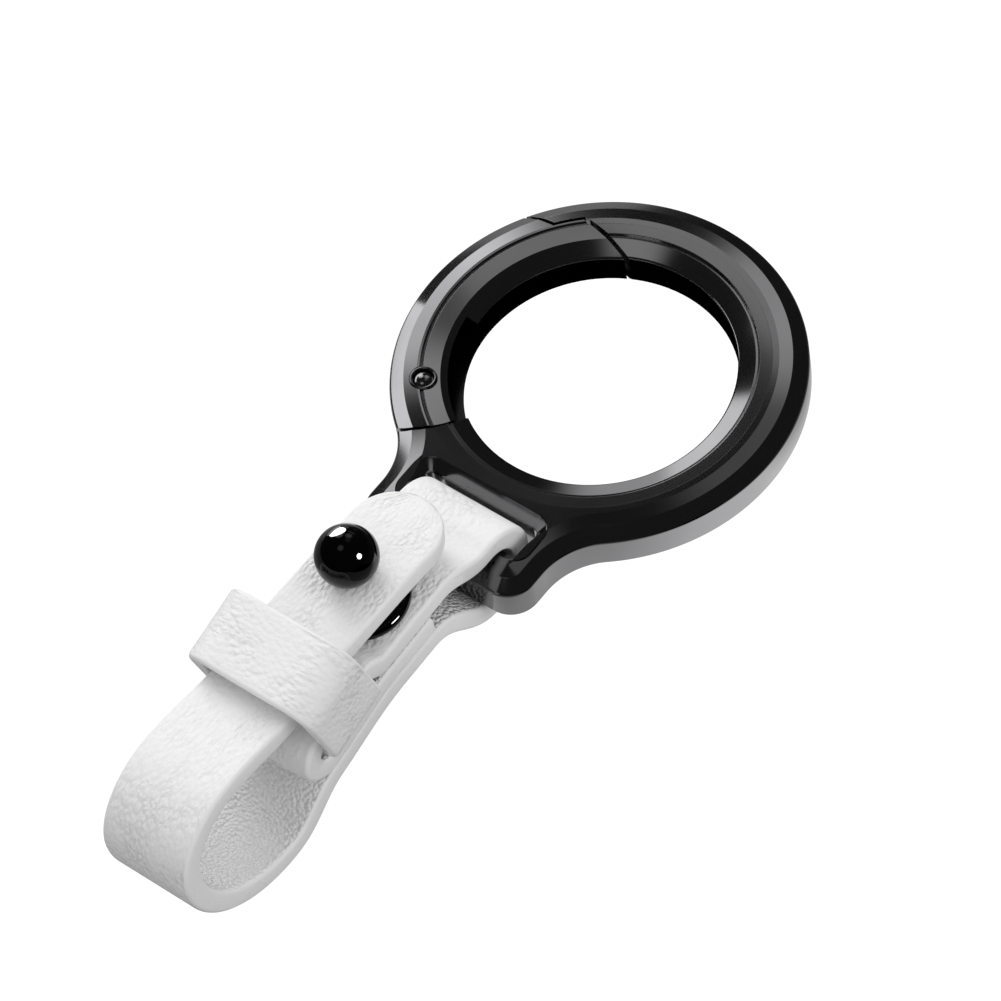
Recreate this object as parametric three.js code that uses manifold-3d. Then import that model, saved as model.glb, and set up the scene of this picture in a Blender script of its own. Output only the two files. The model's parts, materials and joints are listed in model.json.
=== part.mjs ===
// Leather strap keychain: a sprung gate ring whose lug carries a strap. The strap wraps the lug's bar, is
// clamped by a ball stud, hangs in a loop, and its tongue runs back through a keeper to button on the ball.
// Millimetres, +Z up. The part lies on a flat surface at Z = 0, X runs across the strap, +Y to the ring.
import * as THREE from "three";
import { mergeVertices } from "three/addons/utils/BufferGeometryUtils.js";
import Module from "manifold-3d";

const wasm = await Module();
wasm.setup();

// Ring and lug
const RING_OUTER_RADIUS = 16.65;
const RING_BAND = 5.65; // radial width of the ring
const RING_THICKNESS = 4;
const RING_EDGE_BEVEL = 0.8;
const BAR_BELOW_RING = 3.05; // outer edge of the ring to the bar axis
const BAR_WIDTH = 3.6;
const LUG_SIDE = 2.6; // metal beside the slot
const LUG_FILLET_RADIUS = 6;
const LUG_CORNER_RADIUS = 2.4;
const SLOT_CORNER_RADIUS = 0.6;
const SLOT_SIDE_CLEARANCE = 0.8;
const SLOT_TOP_CLEARANCE = 0.35;

// Gate, hinge pin and spring
const PIN_ANGLE = 218.4;
const PIN_RADIUS = 0.75;
const PIN_CLEARANCE = 0.1;
const PIN_END_SETBACK = 0.12; // pin ends below the ring's faces
const PIN_DOME_HEIGHT = 0.3;
const PIN_MOUTH_RADIUS = 1.15;
const PIN_MOUTH_DEPTH = 0.45;
const GATE_GAP = 0.2;
const GATE_TAIL_RADIUS = 4.7; // round tail of the gate about the pin
const NOSE_STEP = 3.3; // inner edge to the step where the gate's inner half runs on
const NOSE_OUTER_ANGLE = 141;
const NOSE_INNER_ANGLE = 131;
const POCKET_HEIGHT = 2.8;
const POCKET_WALL = 1.15; // outer wall of the gate beside its pocket
const POCKET_END_ANGLE = 188;
const ARM_THICKNESS = 0.6; // hinge arm of the frame, inside the gate's pocket
const ARM_CLEARANCE = 0.1;
const WIRE_RADIUS = 0.16;
const COIL_RADIUS = 1.25;
const COIL_PITCH = 0.76;
const COIL_TURNS = 2;
const COIL_EXTRA_ANGLE = 20; // the last leg leaves the coil turned this far towards the ring's centre
const GATE_LEG = 2.2;
const FRAME_LEG = 3.1;

// Strap
const STRAP_WIDTH = 9.2; // where it is clamped and wraps the bar
const TONGUE_WIDTH = 7.7;
const STRAP_THICKNESS = 2;
const BAR_CLEARANCE = 0.15;
const LAYER_GAP = 0.15;
const STACK_HEIGHT = 4.5; // floor to the underside of the clamped layers
const RETURN_PAST_STUD = 2.3;
const LOOP_END_REACH = 35.4; // bar axis to the middle of the strap at the loop's end
const LOOP_END_HEIGHT = 10;
const LOOP_BOTTOM_SHARE = 0.74; // of that reach, where the loop lies on the floor
const LOOP_TOP_SHARE = 0.84;
const LOOP_RISE = 1.5; // the loop's top above the tongue
const TONGUE_LIFT = 1; // flange to the underside of the tongue
const TONGUE_RISE = 0.5; // its height at the bend line, above that at the stud
const TONGUE_DROOP = 1.2; // its tip, below that at the stud
const TONGUE_PAST_STUD = 8.6;
const TONGUE_SPLIT = 0.3; // gap at the bend line where the tongue lifts
const SLIT_LENGTH = 3.2; // from the stud's axis towards the tip
const SLIT_WIDTH = 0.4;

// Keeper
const KEEPER_LENGTH = 6.3; // along the strap
const KEEPER_WALL = 1.25;
const KEEPER_ROOM = 2.1; // inside the keeper, above the tongue's own height at the stud
const KEEPER_SIDE_CLEARANCE = 0.2;
const KEEPER_HEADROOM = 0.9; // its front above the strap, where the loop goes in
const KEEPER_CORNER_RADIUS = 1.9;
const KEEPER_TILT = 12;
const KEEPER_PAST_STUD = 8.05;
const KEEPER_DROP = 0.2; // the back wall below the layers that it parts
const FOLD_TUCK = 0.35; // centre of the fold inside the end of the back wall

// Ball stud and its back screw
const STUD_REACH = 9.4; // bar axis to stud axis
const BALL_RADIUS = 2.5;
const BALL_SINK = 0.05; // the ball's lowest point below the tongue's upper face
const NECK_RADIUS = 1.15;
const FLANGE_RADIUS = 3.95;
const FLANGE_THICKNESS = 0.95;
const POST_RADIUS = 1.6;
const POST_SETBACK = 0.9; // the post stops short of the screw head
const SCREW_RADIUS = 0.95;
const SCREW_DEPTH = 4.6;
const SCREW_HEAD_RADIUS = 2;
const SCREW_HEAD_THICKNESS = 0.9;
const DRIVE_SLOT_WIDTH = 0.6;
const DRIVE_SLOT_DEPTH = 0.4;
const THREAD_CLEARANCE = 0.1;
const HOLE_CLEARANCE = 0.2;
const SEAT_GAP = 0.05;

// Values worked out from the driving dimensions
const RING_INNER_RADIUS = RING_OUTER_RADIUS - RING_BAND;
const PIN_ORBIT_RADIUS = RING_OUTER_RADIUS - RING_BAND / 2; // ring centre to pin axis
const NOSE_STEP_RADIUS = RING_INNER_RADIUS + NOSE_STEP;
const POCKET_RADIUS = RING_OUTER_RADIUS - POCKET_WALL;
const ARM_HALF_WIDTH = POCKET_RADIUS - PIN_ORBIT_RADIUS - GATE_GAP;
const BAR_REACH = RING_OUTER_RADIUS + BAR_BELOW_RING; // ring centre to bar axis
const HALF_RING = RING_THICKNESS / 2;
const HALF_BAR = BAR_WIDTH / 2;
const HALF_STRAP = STRAP_WIDTH / 2;
const HALF_TONGUE = TONGUE_WIDTH / 2;
const HALF_LEATHER = STRAP_THICKNESS / 2;
const BAR_CORNER = Math.max(
  Math.hypot(HALF_BAR - RING_EDGE_BEVEL, HALF_RING),
  Math.hypot(HALF_BAR, HALF_RING - RING_EDGE_BEVEL),
);
const WRAP_RADIUS = BAR_CORNER + BAR_CLEARANCE + HALF_LEATHER; // middle of the leather
const WRAP_OUTER = WRAP_RADIUS + HALF_LEATHER;
const FLOOR = -WRAP_OUTER; // heights are worked out from the bar axis
const LUG_END = BAR_REACH + HALF_BAR;
const SLOT_TOP = BAR_REACH - WRAP_OUTER - SLOT_TOP_CLEARANCE;
const SLOT_HALF_WIDTH = HALF_STRAP + SLOT_SIDE_CLEARANCE;
const LUG_HALF_WIDTH = SLOT_HALF_WIDTH + LUG_SIDE;
const STUD_Y = -STUD_REACH;
const STACK_TOP = layerHeight(2) + HALF_LEATHER;
const FLANGE_BASE = STACK_TOP + SEAT_GAP;
const FLANGE_TOP = FLANGE_BASE + FLANGE_THICKNESS;
const TONGUE_LEVEL = FLANGE_TOP + TONGUE_LIFT + HALF_LEATHER; // middle of the tongue, at the stud
const BALL_LEVEL = TONGUE_LEVEL + HALF_LEATHER + BALL_RADIUS - BALL_SINK;

// The ring leans from the bar until its far edge lies on the floor.
const LEAN_REACH = BAR_REACH + RING_OUTER_RADIUS - RING_EDGE_BEVEL;
const RING_LEAN =
  Math.asin(WRAP_OUTER / Math.hypot(LEAN_REACH, HALF_RING)) - Math.atan(HALF_RING / LEAN_REACH);

const BLACK_METAL = { color: 0x17181a, roughness: 0.22, metalness: 1 };
const SPRING_STEEL = { color: 0x55585c, roughness: 0.35, metalness: 1 };
const WHITE_LEATHER = { color: 0xeeeeec, roughness: 0.6, metalness: 0 };

function radians(degrees) {
  return THREE.MathUtils.degToRad(degrees);
}

function polar(radius, degrees) {
  return new THREE.Vector2(radius, 0).rotateAround(new THREE.Vector2(), radians(degrees));
}

// Middle height of a clamped strap layer at the stud: 0 is the long run, 1 the turned-in end, 2 the top.
function layerHeight(index) {
  return FLOOR + STACK_HEIGHT + HALF_LEATHER + index * (STRAP_THICKNESS + LAYER_GAP);
}

// A closed geometry as a solid that can be joined and cut.
function solidOf(geometry) {
  const bare = geometry.index ? geometry.toNonIndexed() : geometry.clone();
  bare.deleteAttribute("normal");
  bare.deleteAttribute("uv");
  const merged = mergeVertices(bare, 1e-4);
  return new wasm.Manifold(
    new wasm.Mesh({
      numProp: 3,
      vertProperties: merged.attributes.position.array,
      triVerts: new Uint32Array(merged.index.array),
    }),
  );
}

function geometryOf(solid) {
  const { vertProperties, triVerts } = solid.getMesh();
  const geometry = new THREE.BufferGeometry();
  geometry.setAttribute("position", new THREE.BufferAttribute(vertProperties, 3));
  geometry.setIndex(new THREE.BufferAttribute(triVerts, 1));
  geometry.computeVertexNormals();
  return geometry;
}

function piece(name, geometry, finish) {
  const mesh = new THREE.Mesh(geometry, new THREE.MeshStandardMaterial(finish));
  mesh.name = name;
  return mesh;
}

// An upright round bar between two heights.
function roundBar(x, y, radius, low, high, segments = 48) {
  const geometry = new THREE.CylinderGeometry(radius, radius, high - low, segments);
  geometry.rotateX(Math.PI / 2);
  geometry.translate(x, y, (low + high) / 2);
  return solidOf(geometry);
}

// A large block that holds every point ahead of a line through a place, along a plan heading.
function halfSpace(place, degrees, height) {
  const size = 4 * RING_OUTER_RADIUS;
  const geometry = new THREE.BoxGeometry(size, size, height);
  geometry.translate(size / 2, 0, 0);
  geometry.rotateZ(radians(degrees));
  geometry.translate(place.x, place.y, 0);
  return solidOf(geometry);
}

// A flat plate with bevelled edges, centred on its own middle plane.
function bevelledPlate(shape) {
  const depth = RING_THICKNESS - 2 * RING_EDGE_BEVEL;
  const geometry = new THREE.ExtrudeGeometry(shape, {
    depth,
    curveSegments: 40,
    bevelThickness: RING_EDGE_BEVEL,
    bevelSize: RING_EDGE_BEVEL,
    bevelOffset: -RING_EDGE_BEVEL,
    bevelSegments: 1,
  });
  geometry.translate(0, 0, -depth / 2);
  return solidOf(geometry);
}

function roundedRectangle(path, left, bottom, right, top, radius) {
  path.moveTo(left + radius, bottom);
  path.absarc(right - radius, bottom + radius, radius, -Math.PI / 2, 0, false);
  path.absarc(right - radius, top - radius, radius, 0, Math.PI / 2, false);
  path.absarc(left + radius, top - radius, radius, Math.PI / 2, Math.PI, false);
  path.absarc(left + radius, bottom + radius, radius, Math.PI, 1.5 * Math.PI, false);
  path.closePath();
  return path;
}

// Ring outline with its lug, seen along the ring's axis.
function ringAndLugShape() {
  const filletX = LUG_HALF_WIDTH + LUG_FILLET_RADIUS;
  const filletY = Math.sqrt((RING_OUTER_RADIUS + LUG_FILLET_RADIUS) ** 2 - filletX ** 2);
  const meet = Math.atan2(filletY, filletX);
  const cornerX = LUG_HALF_WIDTH - LUG_CORNER_RADIUS;
  const cornerY = LUG_CORNER_RADIUS - LUG_END;
  const shape = new THREE.Shape();
  shape.absarc(0, 0, RING_OUTER_RADIUS, -meet, Math.PI + meet, false);
  shape.absarc(-filletX, -filletY, LUG_FILLET_RADIUS, meet, 0, true);
  shape.absarc(-cornerX, cornerY, LUG_CORNER_RADIUS, Math.PI, 1.5 * Math.PI, false);
  shape.absarc(cornerX, cornerY, LUG_CORNER_RADIUS, 1.5 * Math.PI, 2 * Math.PI, false);
  shape.absarc(filletX, -filletY, LUG_FILLET_RADIUS, Math.PI, Math.PI - meet, true);
  const hole = new THREE.Path().absarc(0, 0, RING_INNER_RADIUS, 0, 2 * Math.PI, true);
  const slotBottom = HALF_BAR - BAR_REACH;
  const slot = roundedRectangle(
    new THREE.Path(), -SLOT_HALF_WIDTH, slotBottom, SLOT_HALF_WIDTH, -SLOT_TOP, SLOT_CORNER_RADIUS,
  );
  shape.holes.push(hole, slot);
  return shape;
}

function ringShape() {
  const shape = new THREE.Shape().absarc(0, 0, RING_OUTER_RADIUS, 0, 2 * Math.PI, false);
  shape.holes.push(new THREE.Path().absarc(0, 0, RING_INNER_RADIUS, 0, 2 * Math.PI, true));
  return shape;
}

const PIN = polar(PIN_ORBIT_RADIUS, PIN_ANGLE);
const NOSE_OUTER_SWING = polar(NOSE_STEP_RADIUS, NOSE_OUTER_ANGLE).distanceTo(PIN);
const NOSE_INNER_SWING = polar(NOSE_STEP_RADIUS, NOSE_INNER_ANGLE).distanceTo(PIN);

// The stretch of ring that the gate takes, grown by a gap. Its ends are arcs about the pin, to swing clear.
function gateStretch(gap) {
  const tall = RING_THICKNESS;
  const tail = roundBar(PIN.x, PIN.y, GATE_TAIL_RADIUS + gap, -tall, tall);
  const outerHalf = roundBar(PIN.x, PIN.y, NOSE_OUTER_SWING + gap, -tall, tall, 96);
  const innerHalf = roundBar(PIN.x, PIN.y, NOSE_INNER_SWING + gap, -tall, tall, 96).intersect(
    roundBar(0, 0, NOSE_STEP_RADIUS + gap, -tall, tall, 96),
  );
  const nearSide = halfSpace(PIN, PIN_ANGLE - 90, 2 * tall);
  return outerHalf.add(innerHalf).intersect(nearSide).add(tail);
}

// Hinge arm: an eye about the pin and a band that follows the ring into the frame.
function hingeArm() {
  const low = ARM_CLEARANCE - POCKET_HEIGHT / 2;
  const high = low + ARM_THICKNESS;
  const reach = GATE_TAIL_RADIUS + GATE_GAP + ARM_THICKNESS;
  const band = roundBar(0, 0, PIN_ORBIT_RADIUS + ARM_HALF_WIDTH, low, high, 96)
    .subtract(roundBar(0, 0, PIN_ORBIT_RADIUS - ARM_HALF_WIDTH, low - 1, high + 1, 96))
    .intersect(roundBar(PIN.x, PIN.y, reach, low - 1, high + 1))
    .intersect(halfSpace(PIN, PIN_ANGLE + 90, RING_THICKNESS));
  return band.add(roundBar(PIN.x, PIN.y, ARM_HALF_WIDTH, low, high));
}

function ringFrame() {
  const bore = roundBar(PIN.x, PIN.y, PIN_RADIUS + SEAT_GAP, -RING_THICKNESS, RING_THICKNESS, 24);
  const body = bevelledPlate(ringAndLugShape()).subtract(gateStretch(GATE_GAP));
  return piece("ring_frame", geometryOf(body.add(hingeArm()).subtract(bore)), BLACK_METAL);
}

function gate() {
  const half = POCKET_HEIGHT / 2;
  const bore = roundBar(PIN.x, PIN.y, PIN_RADIUS + PIN_CLEARANCE, -RING_THICKNESS, RING_THICKNESS, 24);
  const mouth = roundBar(PIN.x, PIN.y, PIN_MOUTH_RADIUS, HALF_RING - PIN_MOUTH_DEPTH, RING_THICKNESS, 32);
  const pocket = roundBar(0, 0, POCKET_RADIUS, -half, half, 96).intersect(
    halfSpace(new THREE.Vector2(), POCKET_END_ANGLE + 90, RING_THICKNESS),
  );
  const body = bevelledPlate(ringShape()).intersect(gateStretch(0));
  return piece("gate", geometryOf(body.subtract(pocket).subtract(bore).subtract(mouth)), BLACK_METAL);
}

// Hinge pin: a plain rivet with a low dome at its upper end.
function gatePin() {
  const low = PIN_END_SETBACK - HALF_RING;
  const high = HALF_RING - PIN_END_SETBACK;
  const profile = [
    new THREE.Vector2(0, low),
    new THREE.Vector2(PIN_RADIUS, low),
    new THREE.Vector2(PIN_RADIUS, high - PIN_DOME_HEIGHT),
    new THREE.Vector2(PIN_RADIUS * Math.SQRT1_2, high - PIN_DOME_HEIGHT * (1 - Math.SQRT1_2)),
    new THREE.Vector2(0, high),
  ];
  const geometry = new THREE.LatheGeometry(profile, 24);
  geometry.rotateX(Math.PI / 2);
  geometry.translate(PIN.x, PIN.y, 0);
  return piece("gate_pin", geometryOf(solidOf(geometry)), BLACK_METAL);
}

// Torsion spring: one leg on the gate's pocket wall, a coil about the pin, one leg to the frame.
function springRoute() {
  const stepsPerTurn = 8;
  const legSteps = 3;
  const sweep = COIL_TURNS * 360 + COIL_EXTRA_ANGLE;
  const steps = Math.round((stepsPerTurn * sweep) / 360);
  const base = 2 * ARM_CLEARANCE + ARM_THICKNESS + WIRE_RADIUS - POCKET_HEIGHT / 2;
  const points = [];
  const outLeg = polar(GATE_LEG, PIN_ANGLE - 90);
  const start = polar(COIL_RADIUS, PIN_ANGLE).add(PIN);
  for (let i = 0; i < legSteps; i += 1) {
    const share = 1 - i / legSteps;
    points.push(new THREE.Vector3(start.x + outLeg.x * share, start.y + outLeg.y * share, base));
  }
  for (let i = 0; i <= steps; i += 1) {
    const angle = (sweep * i) / steps;
    const place = polar(COIL_RADIUS, PIN_ANGLE + angle).add(PIN);
    points.push(new THREE.Vector3(place.x, place.y, base + (COIL_PITCH * angle) / 360));
  }
  const end = points.at(-1);
  const inLeg = polar(FRAME_LEG, PIN_ANGLE + sweep + 90);
  for (let i = 1; i <= legSteps; i += 1) {
    const share = i / legSteps;
    points.push(new THREE.Vector3(end.x + inLeg.x * share, end.y + inLeg.y * share, end.z));
  }
  return points;
}

// A closed skin over rings of corners, given ring by ring as coordinates.
function skin(coordinates, sides) {
  const rings = coordinates.length / (3 * sides);
  const faces = [];
  for (let i = 0; i + 1 < rings; i += 1) {
    for (let k = 0; k < sides; k += 1) {
      const a = i * sides + k;
      const b = i * sides + ((k + 1) % sides);
      faces.push(a, b, b + sides, a, b + sides, a + sides);
    }
  }
  const last = (rings - 1) * sides;
  for (let k = 1; k + 1 < sides; k += 1) {
    faces.push(0, k + 1, k, last, last + k, last + k + 1);
  }
  const geometry = new THREE.BufferGeometry();
  geometry.setAttribute("position", new THREE.Float32BufferAttribute(coordinates, 3));
  geometry.setIndex(faces);
  geometry.computeVertexNormals();
  return geometry;
}

// A round wire along points.
function wireGeometry(points, radius, sides) {
  const up = new THREE.Vector3(0, 0, 1);
  const vertices = [];
  points.forEach((point, i) => {
    const before = points[Math.max(i - 1, 0)];
    const after = points[Math.min(i + 1, points.length - 1)];
    const along = after.clone().sub(before).normalize();
    const across = up.clone().cross(along).normalize();
    const lift = along.clone().cross(across);
    for (let k = 0; k < sides; k += 1) {
      const angle = (2 * Math.PI * k) / sides;
      const offset = across.clone().multiplyScalar(radius * Math.cos(angle));
      offset.addScaledVector(lift, radius * Math.sin(angle));
      vertices.push(...point.clone().add(offset));
    }
  });
  return skin(vertices, sides);
}

// Least clear gap between stretches of a wire that lie over half a turn apart along it.
function leastSelfGap(points, radius) {
  const route = new THREE.CurvePath();
  for (let i = 0; i + 1 < points.length; i += 1) {
    route.add(new THREE.LineCurve3(points[i], points[i + 1]));
  }
  const samples = route.getSpacedPoints(400);
  const step = route.getLength() / 400;
  const apart = Math.ceil((Math.PI * COIL_RADIUS) / step);
  let least = Infinity;
  for (let i = 0; i < samples.length; i += 1) {
    for (let j = i + apart; j < samples.length; j += 1) {
      least = Math.min(least, samples[i].distanceTo(samples[j]));
    }
  }
  return least - 2 * radius;
}

function gateSpring() {
  const points = springRoute();
  console.log("gate_spring least gap to itself", leastSelfGap(points, WIRE_RADIUS).toFixed(2), "mm");
  return piece("gate_spring", wireGeometry(points, WIRE_RADIUS, 5), SPRING_STEEL);
}

// Strap route, in the plane across the bar: x here is the part's Y, y is its height above the bar axis.
function station(along, height, degrees) {
  return { place: new THREE.Vector2(along, height), heading: polar(1, degrees) };
}

// A smooth bend between two stations.
function bend(from, to) {
  const handle = 0.39 * from.place.distanceTo(to.place);
  return new THREE.CubicBezierCurve(
    from.place,
    from.place.clone().addScaledVector(from.heading, handle),
    to.place.clone().addScaledVector(to.heading, -handle),
    to.place,
  );
}

function bendsThrough(stations) {
  return stations.slice(1).map((next, i) => bend(stations[i], next));
}

// A half turn to the right about a centre, starting from a station.
function halfTurn(centre, from) {
  const spoke = from.place.clone().sub(centre);
  const start = spoke.angle();
  return new THREE.EllipseCurve(
    centre.x, centre.y, spoke.length(), spoke.length(), start, start - Math.PI, true,
  );
}

const KEEPER_HEADING = polar(1, 180 + KEEPER_TILT);
const KEEPER_NORMAL = polar(1, 90 + KEEPER_TILT);
const KEEPER_LEVEL = (layerHeight(1) + layerHeight(2)) / 2 - KEEPER_DROP;
const KEEPER_SEAT = new THREE.Vector2(STUD_Y - KEEPER_PAST_STUD, KEEPER_LEVEL);
const FOLD_RADIUS = KEEPER_WALL / 2 + LAYER_GAP + HALF_LEATHER;

// A place near the keeper: along the strap from the middle of its back wall, and up from that wall.
function keeperPlace(along, up) {
  return KEEPER_SEAT.clone().addScaledVector(KEEPER_HEADING, along).addScaledVector(KEEPER_NORMAL, up);
}

function keeperStation(along, up, degrees) {
  return { place: keeperPlace(along, up), heading: polar(1, degrees) };
}

const HALF_KEEPER = KEEPER_LENGTH / 2;
const KEEPER_FRONT = TONGUE_LEVEL + HALF_LEATHER - KEEPER_LEVEL + KEEPER_ROOM; // its inner face
const TONGUE_IN_KEEPER = keeperPlace(HALF_KEEPER, KEEPER_FRONT - KEEPER_HEADROOM - HALF_LEATHER);
const BEND_LINE = keeperPlace(-HALF_KEEPER, KEEPER_FRONT + KEEPER_WALL).x + TONGUE_SPLIT;
const TONGUE_SLOPE = new THREE.Vector2(STUD_Y - BEND_LINE, -TONGUE_RISE).angle() * THREE.MathUtils.RAD2DEG;

// From the turned-in end, round the keeper's back wall, over the bar and through the slot.
function clampedRoute() {
  const down = 180 + KEEPER_TILT;
  const foldStart = keeperStation(HALF_KEEPER - FOLD_TUCK, -FOLD_RADIUS, down);
  const foldEnd = keeperStation(HALF_KEEPER - FOLD_TUCK, FOLD_RADIUS, KEEPER_TILT);
  const wrapTop = station(0, WRAP_RADIUS, 0);
  return [
    ...bendsThrough([
      station(STUD_Y + RETURN_PAST_STUD, layerHeight(1), 180),
      station(STUD_Y - POST_RADIUS, layerHeight(1), 180),
      keeperStation(-HALF_KEEPER, -FOLD_RADIUS, down),
      foldStart,
    ]),
    halfTurn(keeperPlace(HALF_KEEPER - FOLD_TUCK, 0), foldStart),
    ...bendsThrough([
      foldEnd,
      keeperStation(-HALF_KEEPER, FOLD_RADIUS, KEEPER_TILT),
      station(STUD_Y - FLANGE_RADIUS + FLANGE_THICKNESS, layerHeight(2), 0),
      station(STUD_Y + FLANGE_RADIUS, layerHeight(2), 0),
      wrapTop,
    ]),
    halfTurn(new THREE.Vector2(0, 0), wrapTop),
  ];
}

// From under the bar, below the stud and keeper, and round the hanging loop into the keeper.
function loopRoute() {
  const clearOfFold = keeperPlace(HALF_KEEPER, -FOLD_RADIUS - STRAP_THICKNESS - 2 * LAYER_GAP);
  return bendsThrough([
    station(0, -WRAP_RADIUS, 180),
    station(STUD_Y + SCREW_HEAD_RADIUS, layerHeight(0), 180),
    station(STUD_Y - POST_RADIUS, layerHeight(0), 180),
    station(clearOfFold.x, clearOfFold.y, 180 + KEEPER_TILT),
    station(-LOOP_END_REACH * LOOP_BOTTOM_SHARE, FLOOR + HALF_LEATHER, 180),
    station(-LOOP_END_REACH, FLOOR + LOOP_END_HEIGHT, 90),
    station(-LOOP_END_REACH * LOOP_TOP_SHARE, TONGUE_LEVEL + LOOP_RISE, 0),
    { place: TONGUE_IN_KEEPER, heading: polar(1, -5) },
    station(BEND_LINE, TONGUE_LEVEL + TONGUE_RISE, TONGUE_SLOPE),
  ]);
}

function tongueRoute() {
  return bendsThrough([
    station(BEND_LINE + TONGUE_SPLIT, TONGUE_LEVEL + TONGUE_RISE, TONGUE_SLOPE),
    station(STUD_Y, TONGUE_LEVEL, TONGUE_SLOPE),
    station(STUD_Y + TONGUE_PAST_STUD, TONGUE_LEVEL - TONGUE_DROOP, 2 * TONGUE_SLOPE),
  ]);
}

// A strip of leather along the legs of a route. Each leg tapers evenly from one width to another.
function strip(legs) {
  const spacing = 0.8;
  const corners = [];
  for (const { route, from, to } of legs) {
    const length = route.reduce((sum, curve) => sum + curve.getLength(), 0);
    let travelled = 0;
    for (const curve of route) {
      const steps = Math.max(1, Math.ceil(curve.getLength() / spacing));
      for (let i = corners.length ? 1 : 0; i <= steps; i += 1) {
        const place = curve.getPointAt(i / steps);
        const along = curve.getTangentAt(i / steps);
        const side = new THREE.Vector2(-along.y, along.x).multiplyScalar(HALF_LEATHER);
        const upper = place.clone().add(side);
        const lower = place.clone().sub(side);
        const share = (travelled + (curve.getLength() * i) / steps) / length;
        const half = THREE.MathUtils.lerp(from, to, share) / 2;
        corners.push(half, upper.x, upper.y, half, lower.x, lower.y);
        corners.push(-half, lower.x, lower.y, -half, upper.x, upper.y);
      }
      travelled += curve.getLength();
    }
  }
  return solidOf(skin(corners, 4));
}

// The clamped layers and the loop. The stud's flange presses its own seat into the top layer.
function strapBody() {
  const postHole = roundBar(0, STUD_Y, POST_RADIUS + HOLE_CLEARANCE, FLOOR, FLANGE_BASE, 32);
  const flangeSeat = roundBar(0, STUD_Y, FLANGE_RADIUS + SEAT_GAP, STACK_TOP, TONGUE_LEVEL);
  const leather = strip([
    { route: clampedRoute(), from: STRAP_WIDTH, to: STRAP_WIDTH },
    { route: loopRoute(), from: STRAP_WIDTH, to: TONGUE_WIDTH },
  ]);
  return piece("strap_body", geometryOf(leather.subtract(postHole).subtract(flangeSeat)), WHITE_LEATHER);
}

// The tongue: a round end, and a hole with a slit that lets the ball through.
function strapTongue() {
  const low = TONGUE_LEVEL - TONGUE_DROOP - STRAP_THICKNESS;
  const high = TONGUE_LEVEL + TONGUE_RISE + STRAP_THICKNESS;
  const tip = STUD_Y + TONGUE_PAST_STUD;
  const outline = new THREE.Shape();
  outline.moveTo(-STRAP_WIDTH, BEND_LINE);
  outline.lineTo(STRAP_WIDTH, BEND_LINE);
  outline.lineTo(HALF_TONGUE, tip - HALF_TONGUE);
  outline.absarc(0, tip - HALF_TONGUE, HALF_TONGUE, 0, Math.PI, false);
  const plan = new THREE.ExtrudeGeometry(outline, {
    depth: high - low,
    bevelEnabled: false,
    curveSegments: 24,
  });
  plan.translate(0, 0, low);
  const hole = roundBar(0, STUD_Y, NECK_RADIUS + HOLE_CLEARANCE, low, high, 32);
  const slit = new THREE.BoxGeometry(SLIT_WIDTH, SLIT_LENGTH, high - low);
  slit.translate(0, STUD_Y + SLIT_LENGTH / 2, TONGUE_LEVEL);
  const leather = strip([{ route: tongueRoute(), from: TONGUE_WIDTH, to: TONGUE_WIDTH }]);
  const cut = leather.intersect(solidOf(plan)).subtract(hole).subtract(solidOf(slit));
  return piece("strap_tongue", geometryOf(cut), WHITE_LEATHER);
}

// Keeper: a flat band of leather closed round the strap, its back wall caught in the strap's fold.
function keeper() {
  const inner = HALF_STRAP + KEEPER_SIDE_CLEARANCE;
  const outer = inner + KEEPER_WALL;
  const floor = KEEPER_WALL / 2;
  const innerCorner = Math.min(KEEPER_SIDE_CLEARANCE + LAYER_GAP, KEEPER_CORNER_RADIUS);
  const shape = roundedRectangle(
    new THREE.Shape(), -outer, -floor, outer, KEEPER_FRONT + KEEPER_WALL, KEEPER_CORNER_RADIUS,
  );
  shape.holes.push(roundedRectangle(new THREE.Path(), -inner, floor, inner, KEEPER_FRONT, innerCorner));
  const geometry = new THREE.ExtrudeGeometry(shape, {
    depth: KEEPER_LENGTH,
    bevelEnabled: false,
    curveSegments: 6,
  });
  geometry.translate(0, 0, -HALF_KEEPER);
  const across = new THREE.Vector3(1, 0, 0);
  const normal = new THREE.Vector3(0, KEEPER_NORMAL.x, KEEPER_NORMAL.y);
  geometry.applyMatrix4(new THREE.Matrix4().makeBasis(across, normal, across.clone().cross(normal)));
  geometry.translate(0, KEEPER_SEAT.x, KEEPER_SEAT.y);
  return piece("keeper", geometryOf(solidOf(geometry)), WHITE_LEATHER);
}

function turned(profile, segments) {
  const geometry = new THREE.LatheGeometry(profile, segments);
  geometry.rotateX(Math.PI / 2);
  geometry.translate(0, STUD_Y, 0);
  return geometry;
}

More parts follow.
